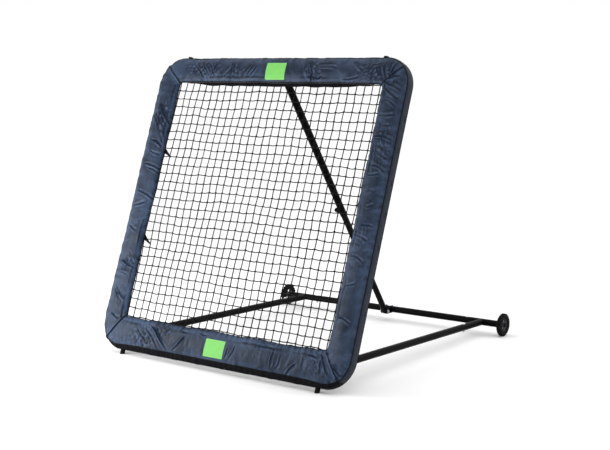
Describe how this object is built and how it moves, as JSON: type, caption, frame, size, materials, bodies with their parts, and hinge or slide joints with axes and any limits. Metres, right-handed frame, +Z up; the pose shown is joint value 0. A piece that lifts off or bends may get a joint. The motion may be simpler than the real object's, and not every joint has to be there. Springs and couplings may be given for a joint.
{
  "type": "pitch back rebounder",
  "caption": "Square padded tube frame with a knotted rebound net, leaning back on a wheeled tube base and held by one telescopic locking prop.",
  "frame": {"origin": "on the floor, at the centre of the footprint's bounding box", "axes": "+Z up, +X across the net to the right as the player sees it, -Y towards the player"},
  "size_m": [1.64, 1.6824, 1.5721],
  "materials": {
    "black_steel": "satin",
    "fasteners": "satin",
    "black_plastic": "matte",
    "rim_plastic": "matte",
    "rubber": "matte",
    "tyre": "matte",
    "net_cord": "matte",
    "webbing": "matte",
    "pad_cloth": "satin",
    "label_cloth": "matte"
  },
  "bodies": {
    "base": {"side_tube_left": "black_steel", "side_tube_right": "black_steel", "rear_corner_left": "black_steel", "rear_corner_right": "black_steel", "rear_tube": "black_steel", "base_bolts": "fasteners", "rear_end_plugs": "black_plastic", "axle_left": "fasteners", "axle_right": "fasteners", "prop_rear_bracket": "black_steel", "prop_rear_bolt": "fasteners"},
    "frame": {"frame_corner_top_left": "black_steel", "frame_corner_top_right": "black_steel", "frame_corner_bottom_left": "black_steel", "frame_corner_bottom_right": "black_steel", "frame_tube_top": "black_steel", "frame_tube_bottom": "black_steel", "frame_tube_left": "black_steel", "frame_tube_right": "black_steel", "frame_bolts": "fasteners", "top_caps": "black_plastic", "frame_feet": "rubber", "net": "net_cord", "net_border_rope": "net_cord", "net_ties": "webbing", "pad_straps": "webbing", "pad_tapes": "webbing", "pad_top": "pad_cloth", "pad_bottom": "pad_cloth", "pad_left": "pad_cloth", "pad_right": "pad_cloth", "label_top": "label_cloth", "label_bottom": "label_cloth", "hinge_bracket_left": "black_steel", "hinge_bracket_right": "black_steel", "hinge_bolt_left": "fasteners", "hinge_bolt_right": "fasteners", "prop_head_bracket": "black_steel", "prop_head_pin": "fasteners"},
    "prop_lower": {"prop_lower_tube": "black_steel", "prop_slide_ring": "black_plastic"},
    "prop_upper": {"prop_upper_tube": "black_steel", "prop_guide_bush": "black_plastic", "prop_head": "black_steel", "lock_housing": "black_steel"},
    "locking_pin": {"lock_pin": "fasteners", "lock_knob": "black_plastic"},
    "wheel_left": {"wheel_rim_left": "rim_plastic", "tyre_left": "tyre", "wheel_cap_left": "black_plastic"},
    "wheel_right": {"wheel_rim_right": "rim_plastic", "tyre_right": "tyre", "wheel_cap_right": "black_plastic"}
  },
  "joints": [
    {"name": "frame_tilt", "type": "hinge", "parent": "base", "child": "frame", "pos_m": [0, -0.76043, 0.09645], "axis": [1, 0, 0], "range_deg": [-8, 8]},
    {"name": "prop_foot", "type": "hinge", "parent": "base", "child": "prop_lower", "pos_m": [0, 0.72969, 0.058], "axis": [1, 0, 0], "range_deg": [-4, 4]},
    {"name": "prop_slide", "type": "slide", "parent": "prop_lower", "child": "prop_upper", "axis": [0, -0.5694, 0.8221], "range_m": [-0.169, 0.169]},
    {"name": "lock_pull", "type": "slide", "parent": "prop_upper", "child": "locking_pin", "axis": [0, -0.8221, -0.5694], "range_m": [0, 0.012], "stiffness_N_per_m": 600, "springref_m": -0.01},
    {"name": "wheel_left_spin", "type": "hinge", "parent": "base", "child": "wheel_left", "pos_m": [-0.772, 0.77369, 0.065], "axis": [1, 0, 0], "continuous": true},
    {"name": "wheel_right_spin", "type": "hinge", "parent": "base", "child": "wheel_right", "pos_m": [0.772, 0.77369, 0.065], "axis": [1, 0, 0], "continuous": true}
  ],
  "couplings": [
    {"joint": "prop_foot", "follows": "frame_tilt", "ratio": 0.4882},
    {"joint": "prop_slide", "follows": "frame_tilt", "m_per_rad": 1.2031}
  ]
}
